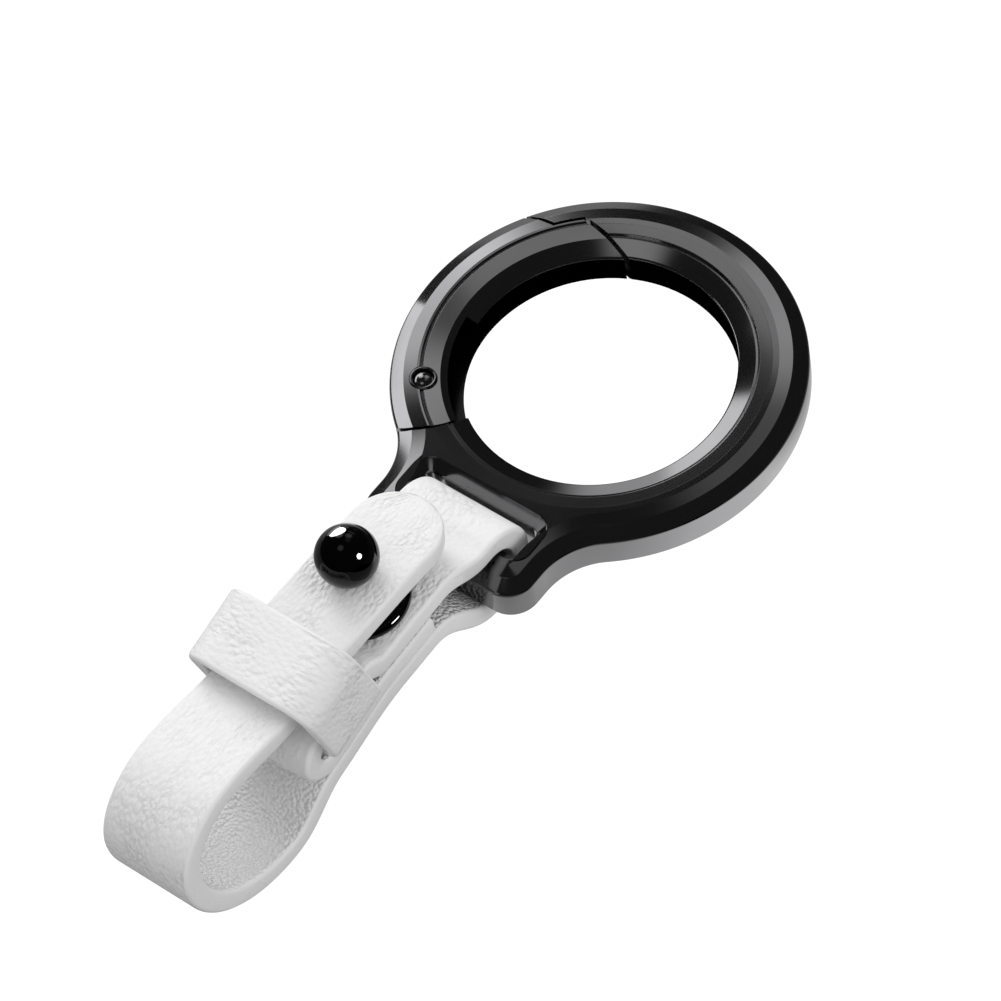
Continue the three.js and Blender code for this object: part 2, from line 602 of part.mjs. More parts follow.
// Ball, neck, clamping flange and a threaded post that goes down through the layers.
function ballStud() {
  const postEnd = FLOOR + STACK_HEIGHT + POST_SETBACK;
  const bore = SCREW_RADIUS + THREAD_CLEARANCE;
  const boreTop = FLOOR + STACK_HEIGHT + SCREW_DEPTH + THREAD_CLEARANCE;
  const edge = FLANGE_THICKNESS / 2;
  const neckAngle = Math.asin(NECK_RADIUS / BALL_RADIUS);
  const profile = [
    new THREE.Vector2(0, boreTop),
    new THREE.Vector2(bore, boreTop),
    new THREE.Vector2(bore, postEnd),
    new THREE.Vector2(POST_RADIUS, postEnd),
    new THREE.Vector2(POST_RADIUS, FLANGE_BASE),
    new THREE.Vector2(FLANGE_RADIUS - edge, FLANGE_BASE),
    new THREE.Vector2(FLANGE_RADIUS, FLANGE_BASE + edge),
    new THREE.Vector2(FLANGE_RADIUS - edge, FLANGE_TOP),
    new THREE.Vector2(NECK_RADIUS, FLANGE_TOP),
  ];
  const arcSteps = 16;
  for (let i = 0; i <= arcSteps; i += 1) {
    const angle = neckAngle + ((Math.PI - neckAngle) * i) / arcSteps;
    const drop = BALL_RADIUS * Math.cos(angle);
    profile.push(new THREE.Vector2(BALL_RADIUS * Math.sin(angle), BALL_LEVEL - drop));
  }
  profile.at(-1).x = 0;
  return piece("ball_stud", geometryOf(solidOf(turned(profile, 40))), BLACK_METAL);
}

// Slotted screw that draws the stud down from behind.
function studScrew() {
  const headTop = FLOOR + STACK_HEIGHT - SEAT_GAP;
  const headLow = headTop - SCREW_HEAD_THICKNESS;
  const tip = FLOOR + STACK_HEIGHT + SCREW_DEPTH;
  const profile = [
    new THREE.Vector2(0, headLow),
    new THREE.Vector2(SCREW_HEAD_RADIUS, headLow),
    new THREE.Vector2(SCREW_HEAD_RADIUS, headTop),
    new THREE.Vector2(SCREW_RADIUS, headTop),
    new THREE.Vector2(SCREW_RADIUS, tip),
    new THREE.Vector2(0, tip),
  ];
  const slot = new THREE.BoxGeometry(2 * SCREW_HEAD_RADIUS + 1, DRIVE_SLOT_WIDTH, 2 * DRIVE_SLOT_DEPTH);
  slot.translate(0, STUD_Y, headLow);
  const body = solidOf(turned(profile, 32)).subtract(solidOf(slot));
  return piece("stud_screw", geometryOf(body), BLACK_METAL);
}

// The ring group turns about the bar; its own frame has the ring's centre at the origin.
const ring = new THREE.Group();
ring.add(ringFrame(), gate(), gatePin(), gateSpring());
ring.position.y = BAR_REACH;

const leaningRing = new THREE.Group();
leaningRing.add(ring);
leaningRing.rotation.x = -RING_LEAN;

const keychain = new THREE.Group();
keychain.add(leaningRing, strapBody(), strapTongue(), keeper(), ballStud(), studScrew());

// The origin is below the middle of the part, on the floor.
keychain.updateMatrixWorld(true);
const middle = new THREE.Box3().setFromObject(keychain, true).getCenter(new THREE.Vector3());
keychain.position.set(0, -middle.y, WRAP_OUTER);

const part = new THREE.Group();
part.add(keychain);

export default part;
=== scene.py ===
"""Leather strap keychain: a black ring with a sprung gate, and a white leather strap with a ball stud."""
import json
import math

import bmesh
import bpy
from mathutils import Matrix, Vector


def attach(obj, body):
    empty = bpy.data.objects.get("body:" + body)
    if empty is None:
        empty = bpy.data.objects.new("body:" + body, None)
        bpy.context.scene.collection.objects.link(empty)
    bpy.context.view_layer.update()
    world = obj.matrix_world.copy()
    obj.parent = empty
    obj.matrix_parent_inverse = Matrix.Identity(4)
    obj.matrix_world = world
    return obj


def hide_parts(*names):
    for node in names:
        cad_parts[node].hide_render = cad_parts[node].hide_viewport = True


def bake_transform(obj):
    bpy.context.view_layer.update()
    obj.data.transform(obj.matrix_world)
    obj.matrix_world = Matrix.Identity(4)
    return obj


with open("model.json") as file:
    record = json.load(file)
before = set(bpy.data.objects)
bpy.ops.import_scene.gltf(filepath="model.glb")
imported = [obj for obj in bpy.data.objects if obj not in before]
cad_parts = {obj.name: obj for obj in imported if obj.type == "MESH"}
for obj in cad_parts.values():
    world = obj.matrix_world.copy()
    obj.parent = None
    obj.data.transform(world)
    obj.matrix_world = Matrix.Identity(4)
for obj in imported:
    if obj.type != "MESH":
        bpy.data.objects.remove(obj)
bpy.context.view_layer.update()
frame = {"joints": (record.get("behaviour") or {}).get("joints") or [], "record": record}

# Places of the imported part. Shapes are worked out in millimetres, about the ring's centre or the bar's axis.
MM = 0.001
joints = {joint["name"]: joint for joint in frame["joints"]}
mounts = {mount["name"]: mount for mount in frame["record"]["mounts"]}
ACROSS = Vector((1, 0, 0))
RING_NORMAL = Vector(mounts["ring_clip"]["axis"])
RING_FAR = RING_NORMAL.cross(ACROSS)
RING_TURN = Matrix((ACROSS, RING_FAR, RING_NORMAL)).transposed().to_4x4()
RING_PLACE = Matrix.Translation(mounts["ring_clip"]["pos_m"]) @ RING_TURN @ Matrix.Scale(MM, 4)
BAR_PLACE = Matrix.Translation(joints["strap_swing"]["pos_m"]) @ Matrix.Scale(MM, 4)
PIN = (RING_PLACE.inverted() @ Vector(joints["gate_hinge"]["pos_m"])).xy

# Ring and lug
RING_RADIUS = 16.65
HOLE_RADIUS = 11
HALF_RING = 2
BAR_REACH = 19.7  # ring centre to bar axis
HALF_BAR = 1.8
LUG_HALF_WIDTH = 8
LUG_FILLET = 6
LUG_CORNER = 2.4
SLOT_HALF_WIDTH = 5.4
SLOT_CORNER = 0.6
SLOT_TOP = 14.96  # ring centre to the far wall of the slot
EASED_EDGE = 0.15  # rounding of the metal's cut edges

# Gate, pin and spring
PIN_ANGLE = math.degrees(math.atan2(PIN.y, PIN.x))
PIN_RADIUS = 0.75
PIN_TOP = 1.88
PIN_DOME = 0.45
PIN_CHAMFER = 0.12
PIN_CLEARANCE = 0.1
MOUTH_RADIUS = 1.15
MOUTH_DEPTH = 0.45
RIM_RADIUS = 1.1  # the pin's head has a rolled rim round its dome
RIM_WIDTH = 0.22
GATE_GAP = 0.3
GATE_TAIL = 4.7
STEP_RADIUS = 14.3  # where the gate's inner half runs on past its outer half
NOSE_OUTER_ANGLE = 141
NOSE_INNER_ANGLE = 131
POCKET_RADIUS = 15.5
POCKET_HALF_HEIGHT = 1.4
POCKET_END_ANGLE = 188
ARM_HALF_WIDTH = 1.475
ARM_LOW = -1.3
ARM_HIGH = -0.7
ARM_OVERRUN = 0.6  # how far the hinge arm runs into the frame
WIRE_RADIUS = 0.16
COIL_RADIUS = 1.25
COIL_PITCH = 0.76
COIL_SWEEP = 740
COIL_BASE = -0.44
GATE_LEG = 2.2
FRAME_LEG = 3.1

# Strap, in heights from the bar axis
STRAP_WIDTH = 9.2  # where it is clamped and wraps the bar
TONGUE_WIDTH = 7.7
LEATHER = 2
HALF_LEATHER = LEATHER / 2
LAYER_GAP = 0.15
WRAP_RADIUS = 3.386  # bar axis to the middle of the leather
FLOOR = -WRAP_RADIUS - HALF_LEATHER  # what the strap lies on
STACK_HEIGHT = 4.5
STUD_Y = -9.4
LOOP_END_REACH = 35.4
LOOP_END_HEIGHT = 10
LOOP_BOTTOM_SHARE = 0.74
LOOP_TOP_SHARE = 0.84
LOOP_RISE = 1.5
RETURN_PAST_STUD = 2.3
TONGUE_RISE = 0.5
TONGUE_DROOP = 1.2
TONGUE_PAST_STUD = 8.6
EDGE_ROUND = 0.45  # rounding along the strap's cut edges
BEND_HANDLE = 0.39  # handles of a bend, as a share of its chord
ROUTE_STEP = 0.3  # distance between rows of points along the leather

# Keeper
KEEPER_LENGTH = 6.3
KEEPER_WALL = 1.25
KEEPER_ROOM = 2.1
KEEPER_CLEARANCE = 0.2
KEEPER_HEADROOM = 0.9
KEEPER_CORNER = 2.6
KEEPER_TILT = 12
KEEPER_PAST_STUD = 8.05
KEEPER_DROP = 0.2
KEEPER_EDGE_ROUND = 0.4
KEEPER_SLOPE = -5  # heading of the leather where it enters the keeper
FOLD_TUCK = 0.35

# Ball stud and its back screw
BALL_RADIUS = 2.5
NECK_RADIUS = 1.15
FLANGE_RADIUS = 3.95
FLANGE_THICKNESS = 0.95
FLANGE_ROUND = 0.42
NECK_FILLET = 0.3
TONGUE_GAP = 1  # flange to the underside of the tongue
POST_RADIUS = 1.6
POST_SETBACK = 0.9
SCREW_RADIUS = 0.95
SCREW_DEPTH = 4.6
SCREW_HEAD_RADIUS = 2
SCREW_HEAD = 0.9
SCREW_HEAD_ROUND = 0.3
SCREW_SLOT_WIDTH = 0.6
SCREW_SLOT_DEPTH = 0.4
BORE_CLEARANCE = 0.1
SEAT_GAP = 0.05
HOLE_CLEARANCE = 0.2
SLIT_LENGTH = 2.9
SLIT_WIDTH = 0.4

# Mesh finish: angles in degrees at which shading breaks, and reaches within which points join
METAL_CREASE = 30
TURNED_CREASE = 35
LEATHER_CREASE = 40
WIRE_CREASE = 40
EASE_ANGLE = 40
FLAT_ANGLE = 0.03
CUT_REACH = 0.001
WELD_REACH = 0.0005

# Photograph's camera, about the ring's centre
LENS = 200
CAMERA_AZIMUTH = 46.45
CAMERA_ELEVATION = 54.77
CAMERA_ROLL = -11.23
CAMERA_TARGET = Vector((0.48, -13.68, 0))
CAMERA_DISTANCE = 433.3


def layer_height(index):
    """Middle of a clamped strap layer at the stud: 0 is the long run, 1 the turned-in end, 2 the top."""
    return FLOOR + STACK_HEIGHT + HALF_LEATHER + index * (LEATHER + LAYER_GAP)


FLANGE_BASE = layer_height(2) + HALF_LEATHER + SEAT_GAP
FLANGE_TOP = FLANGE_BASE + FLANGE_THICKNESS
TONGUE_LEVEL = FLANGE_TOP + TONGUE_GAP + HALF_LEATHER
BALL_LEVEL = TONGUE_LEVEL + HALF_LEATHER + BALL_RADIUS - SEAT_GAP


def polar(radius, degrees):
    angle = math.radians(degrees)
    return Vector((radius * math.cos(angle), radius * math.sin(angle)))


# Shaders

class Shade:
    """A shader socket that takes part in Python arithmetic. Each operator adds one Math node."""

    def __init__(self, finish, socket):
        self.finish = finish
        self.socket = socket

    def maths(self, operation, first, second):
        return self.finish.node("ShaderNodeMath", {"operation": operation}, {0: first, 1: second})

    def __add__(self, other):
        return self.maths("ADD", self, other)

    def __radd__(self, other):
        return self.maths("ADD", other, self)

    def __sub__(self, other):
        return self.maths("SUBTRACT", self, other)

    def __rsub__(self, other):
        return self.maths("SUBTRACT", other, self)

    def __mul__(self, other):
        return self.maths("MULTIPLY", self, other)

    def __rmul__(self, other):
        return self.maths("MULTIPLY", other, self)


class Finish:
    """A node tree being filled in. One method adds every node: settings first, then sockets."""

    def __init__(self, tree):
        self.tree = tree
        tree.nodes.clear()

    def node(self, kind, settings=None, sockets=None, out=0):
        node = self.tree.nodes.new(kind)
        for name, value in (settings or {}).items():
            setattr(node, name, value)
        for name, value in (sockets or {}).items():
            if isinstance(value, Shade):
                self.tree.links.new(value.socket, node.inputs[name])
            else:
                node.inputs[name].default_value = value
        return Shade(self, node.outputs[out] if node.outputs else None)

    def mix(self, share, first, second):
        return self.node("ShaderNodeMix", {"data_type": "RGBA"}, {0: share, 6: first, 7: second}, out=2)

    def smooth(self, value, low, high):
        limits = {"Value": value, "From Min": low, "From Max": high}
        return self.node("ShaderNodeMapRange", {"interpolation_type": "SMOOTHSTEP"}, limits)

    def towards(self, direction, aim):
        """1 along an aim, less away from it."""
        return self.node("ShaderNodeVectorMath", {"operation": "DOT_PRODUCT"}, {0: direction, 1: aim}, out=1)

    def noise(self, place, scale, detail=2.0):
        return self.node("ShaderNodeTexNoise", None, {"Vector": place, "Scale": scale, "Detail": detail})


def new_material(name):
    material = bpy.data.materials.new(name)
    material.use_nodes = True
    return material, Finish(material.node_tree)


def grey(level):
    return (level, level, level, 1)


def white_leather():
    """White leather: fine pebbles in patches, round beads on its back, and smooth paint on the cut edges."""
    material, finish = new_material("white_leather")
    flat = finish.node("ShaderNodeUVMap", {"uv_map": "flat"})
    cut = finish.node("ShaderNodeAttribute", {"attribute_name": "cut_edge"}, out=2)
    wander = finish.node("ShaderNodeTexNoise", None, {"Vector": flat, "Scale": 1.6, "Detail": 2}, out=1)
    drift = finish.node("ShaderNodeVectorMath", {"operation": "SCALE"}, {0: wander, "Scale": 0.5})
    place = finish.node("ShaderNodeVectorMath", {"operation": "ADD"}, {0: flat, 1: drift})
    long_cells = finish.node("ShaderNodeVectorMath", {"operation": "MULTIPLY"}, {0: place, 1: (0.7, 1, 1)})
    cells = {"voronoi_dimensions": "2D", "feature": "SMOOTH_F1"}
    pebbles = finish.node(
        "ShaderNodeTexVoronoi", cells, {"Vector": long_cells, "Scale": 2.4, "Smoothness": 0.3},
    )
    patches = finish.smooth(finish.noise(flat, 0.25), 0.42, 0.66)
    round_band = finish.node("ShaderNodeSeparateXYZ", None, {"Vector": flat})
    back = finish.smooth(Shade(finish, round_band.socket.node.outputs[1]), 10, 11)
    face = 1 - cut
    beads = finish.node("ShaderNodeTexVoronoi", cells, {"Vector": flat, "Scale": 2.8, "Smoothness": 0.25})
    front_grain = (pebbles + 0.6 * finish.noise(flat, 1.2, 3)) * (0.35 + patches * 0.65)
    grain = front_grain * (1 - back) + 2 * beads * back
    height = finish.noise(flat, 6, 3) * 0.15 - grain * face
    bump = finish.node("ShaderNodeBump", None, {"Strength": 1, "Distance": 0.00015, "Height": height})
    colour = finish.mix(grain * face * 0.15, grey(0.87), grey(0.7))
    rough = 0.5 - patches * 0.1 - back * 0.15
    surface = finish.node(
        "ShaderNodeBsdfPrincipled",
        None,
        {"Base Color": colour, "Roughness": rough, "Normal": bump, "Specular IOR Level": 0.4},
    )
    finish.node("ShaderNodeOutputMaterial", None, {"Surface": surface})
    return material


def glossy_metal(name, colour, metallic, roughness, ripple, shine=0.5):
    """Polished metal, with a faint unevenness in its polish."""
    material, finish = new_material(name)
    place = finish.node("ShaderNodeTexCoord", None, None, out=3)
    cloud = finish.noise(place, 180, 3)
    bump = finish.node("ShaderNodeBump", None, {"Strength": 0.1, "Distance": 0.00002, "Height": cloud})
    surface = finish.node(
        "ShaderNodeBsdfPrincipled",
        None,
        {
            "Base Color": finish.mix(cloud, colour, [0.8 * level for level in colour[:3]] + [1]),
            "Metallic": metallic,
            "Roughness": roughness + ripple * cloud,
            "Normal": bump,
            "Specular IOR Level": shine,
        },
    )
    finish.node("ShaderNodeOutputMaterial", None, {"Surface": surface})
    return material


BLACK_PLATING = glossy_metal("black_plating", (0.2, 0.2, 0.205, 1), 1, 0.1, 0.04)
BLACK_LACQUER = glossy_metal("black_lacquer", (0.0002, 0.0002, 0.0002, 1), 0, 0.02, 0.02, shine=0.25)
SPRING_WIRE = glossy_metal("spring_wire", (0.5, 0.5, 0.52, 1), 1, 0.25, 0.15)
LEATHER_FINISH = white_leather()


# Mesh making

def mesh_object(name, bm, material):
    """A new object whose mesh is still in millimetres, about the ring's centre or the bar's axis."""
    bmesh.ops.recalc_face_normals(bm, faces=bm.faces)
    mesh = bpy.data.meshes.new(name)
    bm.to_mesh(mesh)
    bm.free()
    mesh.materials.append(material)
    made = bpy.data.objects.new(name, mesh)
    bpy.context.scene.collection.objects.link(made)
    return made


def rounded(corners, steps=5):
    """A section line through (distance, height, radius) corners, each rounded to its radius."""
    points = []
    for i, (distance, height, radius) in enumerate(corners):
        here = Vector((distance, height))
        if radius == 0:
            points.append(here)
            continue
        before = (Vector(corners[i - 1][:2]) - here).normalized()
        after = (Vector(corners[i + 1][:2]) - here).normalized()
        half = before.angle(after) / 2
        reach = radius / math.tan(half)
        centre = here + (before + after).normalized() * (radius / math.sin(half))
        start = here + before * reach - centre
        end = here + after * reach - centre
        points += [centre + start.slerp(end, k / steps) * radius for k in range(steps + 1)]
    return points


def arc(centre, radius, start, end, steps):
    return [Vector(centre) + polar(radius, start + (end - start) * i / steps) for i in range(steps + 1)]


def circle_row(centre, radius, height, sides):
    """Corners of a level circle."""
    return [(centre[0] + p.x, centre[1] + p.y, height) for p in arc((0, 0), radius, 0, 360, sides)[:-1]]


def strips(bm, rows, closed=False):
    """Quads between rows of corners that each close on themselves."""
    grown = [[bm.verts.new(place) for place in row] for row in rows]
    pairs = list(zip(grown, grown[1:]))
    if closed:
        pairs.append((grown[-1], grown[0]))
    for low, high in pairs:
        for i, corner in enumerate(low):
            j = (i + 1) % len(low)
            bm.faces.new((corner, low[j], high[j], high[i]))
    return grown


def fill_between(bm, contours):
    edges = []
    for contour in contours:
        edges += [bm.edges.get((contour[i - 1], contour[i])) for i in range(len(contour))]
    bmesh.ops.triangle_fill(bm, use_beauty=True, edges=edges)


def prism(outline, low, high):
    """A cutter: an upright block over a closed outline."""
    bm = bmesh.new()
    bottom, top = strips(bm, [[(p.x, p.y, low) for p in outline], [(p.x, p.y, high) for p in outline]])
    bm.faces.new(bottom)
    bm.faces.new(top)
    return mesh_object("cutter", bm, BLACK_PLATING)


def disc(centre, radius, low=-4.0, high=4.0, sides=192):
    return prism(arc(centre, radius, 0, 360, sides)[:-1], low, high)


def half_space(centre, degrees, height=4.0):
    """A cutter: a large block that holds every point ahead of a line through a place, along a heading."""
    size = 3 * RING_RADIUS
    ahead = polar(size, degrees)
    side = polar(size, degrees + 90)
    centre = Vector(centre)
    outline = [centre - side, centre - side + ahead, centre + side + ahead, centre + side]
    return prism(outline, -height, height)


def carve(body, cutter, operation):
    """Joins, cuts or crosses a body with a cutter, which is used up."""
    change = body.modifiers.new(operation, "BOOLEAN")
    change.operation = operation
    change.object = cutter
    change.solver = "EXACT"
    settle(body)
    bpy.data.objects.remove(cutter)
    return body


def settle(body):
    """Applies a body's modifiers to its mesh."""
    view = bpy.context.evaluated_depsgraph_get()
    mesh = bpy.data.meshes.new_from_object(body.evaluated_get(view))
    body.modifiers.clear()
    body.data = mesh


def crease(body, degrees):
    """Smooth shading, broken at sharp edges."""
    bm = bmesh.new()
    bm.from_mesh(body.data)
    for face in bm.faces:
        face.smooth = True
    for edge in bm.edges:
        edge.smooth = edge.is_manifold and edge.calc_face_angle() < math.radians(degrees)
    bm.to_mesh(body.data)
    bm.free()
    return body


def even_shading(body):
    """Lets large faces keep their own shading where small ones meet them."""
    even = body.modifiers.new("even", "WEIGHTED_NORMAL")
    even.keep_sharp = True
    settle(body)
    return body


def weld(body):
    """Joins points that all but meet, and drops the slivers between them."""
    bm = bmesh.new()
    bm.from_mesh(body.data)
    bmesh.ops.remove_doubles(bm, verts=bm.verts, dist=WELD_REACH)
    bmesh.ops.dissolve_degenerate(bm, edges=bm.edges, dist=WELD_REACH)
    bm.to_mesh(body.data)
    bm.free()
    return body


def ease_edges(body):
    """Breaks the sharp edges that cutting left."""
    bm = bmesh.new()
    bm.from_mesh(body.data)
    bmesh.ops.remove_doubles(bm, verts=bm.verts, dist=CUT_REACH)
    bmesh.ops.dissolve_limit(bm, angle_limit=math.radians(FLAT_ANGLE), verts=bm.verts, edges=bm.edges)
    bm.to_mesh(body.data)
    bm.free()
    ease = body.modifiers.new("ease", "BEVEL")
    ease.width = EASED_EDGE
    ease.segments = 2
    ease.limit_method = "ANGLE"
    ease.angle_limit = math.radians(EASE_ANGLE)
    settle(body)
    return weld(body)


def lathe(name, profile, axis, material, sides=96):
    """A turned piece from (radius, height) corners that start and end on its axis."""
    bm = bmesh.new()
    grown = strips(bm, [circle_row(axis, radius, height, sides) for radius, height in profile[1:-1]])
    for row, (_, height) in ((grown[0], profile[0]), (grown[-1], profile[-1])):
        tip = bm.verts.new((axis[0], axis[1], height))
        for i, corner in enumerate(row):
            bm.faces.new((corner, row[i - 1], tip))
    return crease(mesh_object(name, bm, material), TURNED_CREASE)


# Ring frame and gate. Each edge has a section: (distance from the edge, height, rounding).

OUTER_SECTION = rounded([
    (1.1, -2, 0), (0.8, -2, 0.15), (0, -1.5, 0.3), (0, 1.2, 0.4), (1.25, 1.83, 0.1), (2.3, 1.995, 0.5),
    (2.35, 2, 0),
])
HOLE_SECTION = rounded([
    (0.9, -2, 0), (0.35, -2, 0.1), (0, -1.65, 0.2), (0, 1.15, 0.3), (1.5, 1.76, 0.12), (1.65, 1.73, 0.06),
    (1.8, 1.97, 0.06), (2.75, 1.995, 0.5), (2.85, 2, 0),
])
GATE_HOLE_SECTION = rounded([
    (0.9, -2, 0), (0.35, -2, 0.1), (0, -1.65, 0.2), (0, 0.95, 0.3), (1.5, 1.66, 0.12), (2.85, 1.89, 0.05),
    (2.95, 1.79, 0.04), (3.05, 1.79, 0.04), (3.15, 1.97, 0.04), (3.2, 1.98, 0),
])
SLOT_SECTION = rounded([
    (0.9, -2, 0), (0.3, -2, 0.1), (0, -1.7, 0.15), (0, 1.2, 0.3), (0.9, 2, 0.15), (1.05, 2, 0),
])


def outer_edge(inset):
    """The outline of ring and lug, moved inwards."""
    lug_x = LUG_HALF_WIDTH - LUG_CORNER
    lug_y = LUG_CORNER - BAR_REACH - HALF_BAR
    fillet_x = LUG_HALF_WIDTH + LUG_FILLET
    fillet_y = math.sqrt((RING_RADIUS + LUG_FILLET) ** 2 - fillet_x ** 2)
    meet = math.degrees(math.atan2(fillet_y, fillet_x))
    ring = arc((0, 0), RING_RADIUS - inset, -meet, 180 + meet, 200)
    left_fillet = arc((-fillet_x, -fillet_y), LUG_FILLET + inset, meet, 0, 20)
    left_corner = arc((-lug_x, lug_y), LUG_CORNER - inset, 180, 270, 14)
    right_corner = arc((lug_x, lug_y), LUG_CORNER - inset, 270, 360, 14)
    right_fillet = arc((fillet_x, -fillet_y), LUG_FILLET + inset, 180, 180 - meet, 20)
    return ring + left_fillet[1:] + left_corner + right_corner + right_fillet[:-1]


def hole_edge(outset):
    return arc((0, 0), HOLE_RADIUS + outset, 0, 360, 240)[:-1]


def slot_edge(outset):
    """The outline of the slot, moved outwards."""
    x = SLOT_HALF_WIDTH - SLOT_CORNER
    low = HALF_BAR - BAR_REACH + SLOT_CORNER
    high = -SLOT_TOP - SLOT_CORNER
    places = ((x, low, 270), (x, high, 0), (-x, high, 90), (-x, low, 180))
    outline = []
    for cx, cy, start in places:
        outline += arc((cx, cy), SLOT_CORNER + outset, start, start + 90, 10)
    return outline


def gate_stretch(gap):
    """A cutter: the stretch of ring that the gate takes. Its ends are arcs about the pin, to swing clear."""
    outer_swing = (polar(STEP_RADIUS, NOSE_OUTER_ANGLE) - PIN).length
    inner_swing = (polar(STEP_RADIUS, NOSE_INNER_ANGLE) - PIN).length
    inner_half = carve(disc(PIN, inner_swing + gap), disc((0, 0), STEP_RADIUS + gap, -5, 5), "INTERSECT")
    stretch = carve(disc(PIN, outer_swing + gap), inner_half, "UNION")
    stretch = carve(stretch, half_space(PIN, PIN_ANGLE - 90, 5), "INTERSECT")
    return carve(stretch, disc(PIN, GATE_TAIL + gap, -4.5, 4.5), "UNION")


def hinge_arm():
    """The frame's arm in the gate's pocket, with an eye about the pin."""
    orbit = PIN.length
    arm = disc((0, 0), orbit + ARM_HALF_WIDTH, ARM_LOW, ARM_HIGH)
    arm = carve(arm, disc((0, 0), orbit - ARM_HALF_WIDTH), "DIFFERENCE")
    arm = carve(arm, disc(PIN, GATE_TAIL + GATE_GAP + ARM_OVERRUN), "INTERSECT")
    arm = carve(arm, half_space(PIN, PIN_ANGLE + 90), "INTERSECT")
    return carve(arm, disc(PIN, ARM_HALF_WIDTH, ARM_LOW, ARM_HIGH), "UNION")


def ring_frame():
    bm = bmesh.new()
    ends = []
    for edge, section in ((outer_edge, OUTER_SECTION), (hole_edge, HOLE_SECTION), (slot_edge, SLOT_SECTION)):
        rows = [[(p.x, p.y, height) for p in edge(distance)] for distance, height in section]
        grown = strips(bm, rows)
        ends.append((grown[0], grown[-1]))
    fill_between(bm, [low for low, _ in ends])
    fill_between(bm, [high for _, high in ends])
    body = mesh_object("ring_frame_look", bm, BLACK_PLATING)
    carve(body, gate_stretch(GATE_GAP), "DIFFERENCE")
    carve(body, hinge_arm(), "UNION")
    carve(body, disc(PIN, PIN_RADIUS), "DIFFERENCE")
    return even_shading(crease(ease_edges(body), METAL_CREASE))


def gate():
    bm = bmesh.new()
    sides = 256
    outline = [(RING_RADIUS - d, h) for d, h in OUTER_SECTION]
    outline += [(HOLE_RADIUS + d, h) for d, h in reversed(GATE_HOLE_SECTION)]
    strips(bm, [circle_row((0, 0), radius, height, sides) for radius, height in outline], closed=True)
    body = mesh_object("gate_look", bm, BLACK_PLATING)
    carve(body, gate_stretch(0), "INTERSECT")
    pocket = disc((0, 0), POCKET_RADIUS, -POCKET_HALF_HEIGHT, POCKET_HALF_HEIGHT)
    carve(body, carve(pocket, half_space((0, 0), POCKET_END_ANGLE + 90), "INTERSECT"), "DIFFERENCE")
    ease_edges(body)
    carve(body, disc(PIN, PIN_RADIUS + PIN_CLEARANCE), "DIFFERENCE")
    carve(body, disc(PIN, MOUTH_RADIUS, HALF_RING - MOUTH_DEPTH), "DIFFERENCE")
    return even_shading(crease(body, METAL_CREASE))


def gate_pin():
    """Rivet with a domed head in a rolled rim."""
    low = -PIN_TOP
    base = HALF_RING - MOUTH_DEPTH + SEAT_GAP
    dome_radius = RIM_RADIUS - RIM_WIDTH
    rim = rounded([
        (PIN_RADIUS, base, 0), (RIM_RADIUS, base, 0.05), (RIM_RADIUS, HALF_RING, 0.1),
        (dome_radius, HALF_RING, 0.1), (dome_radius, PIN_TOP - PIN_DOME + 0.1, 0),
    ])
    profile = [(0, low), (PIN_RADIUS - PIN_CHAMFER, low), (PIN_RADIUS, low + PIN_CHAMFER)]
    profile += [(p.x, p.y) for p in rim]
    for i in range(9):
        angle = i * math.pi / 18
        profile.append((dome_radius * math.cos(angle), HALF_RING - PIN_DOME * (1 - math.sin(angle))))
    profile.append((0, HALF_RING))
    return lathe("gate_pin_look", profile, PIN, BLACK_PLATING, 64)


def gate_spring():
    """Torsion spring: a leg on the gate, a coil about the pin and a leg on the frame."""
    start = PIN + polar(COIL_RADIUS, PIN_ANGLE)
    gate_leg = polar(GATE_LEG, PIN_ANGLE - 90)
    points = [Vector((*(start + gate_leg * (1 - i / 16)), COIL_BASE)) for i in range(16)]
    steps = 60
    for i in range(steps + 1):
        angle = COIL_SWEEP * i / steps
        spot = PIN + polar(COIL_RADIUS, PIN_ANGLE + angle)
        points.append(Vector((*spot, COIL_BASE + COIL_PITCH * angle / 360)))
    end = points[-1]
    frame_leg = polar(FRAME_LEG, PIN_ANGLE + COIL_SWEEP + 90)
    points += [end + Vector((*frame_leg, 0)) * (i / 6) for i in range(1, 7)]
    bm = bmesh.new()
    rows = []
    for i, point in enumerate(points):
        along = (points[min(i + 1, len(points) - 1)] - points[max(i - 1, 0)]).normalized()
        side = Vector((0, 0, 1)).cross(along).normalized()
        lift = along.cross(side)
        rows.append([point + side * p.x + lift * p.y for p in arc((0, 0), WIRE_RADIUS, 0, 360, 12)[:-1]])
    grown = strips(bm, rows)
    bm.faces.new(grown[0])
    bm.faces.new(grown[-1])
    return crease(mesh_object("gate_spring_look", bm, SPRING_WIRE), WIRE_CREASE)


# Strap routes, in the plane across the bar: x here is the part's Y, y is the height above the bar axis.

def station(along, height, degrees):
    return Vector((along, height)), polar(1, degrees)


def bends_through(stations, steps=24):
    """Points of the smooth bends that join stations, the first one included."""
    points = [stations[0][0]]
    for (start, leave), (end, arrive) in zip(stations, stations[1:]):
        handle = BEND_HANDLE * (end - start).length
        first = start + leave * handle
        second = end - arrive * handle
        for i in range(1, steps + 1):
            t = i / steps
            s = 1 - t
            points.append(start * s ** 3 + first * (3 * s * s * t) + second * (3 * s * t * t) + end * t ** 3)
    return points


def half_turn(centre, start, steps=40):
    """Points of a half turn to the right about a centre, without its start."""
    spoke = start - centre
    angle = math.degrees(math.atan2(spoke.y, spoke.x))
    return arc(centre, spoke.length, angle, angle - 180, steps)[1:]


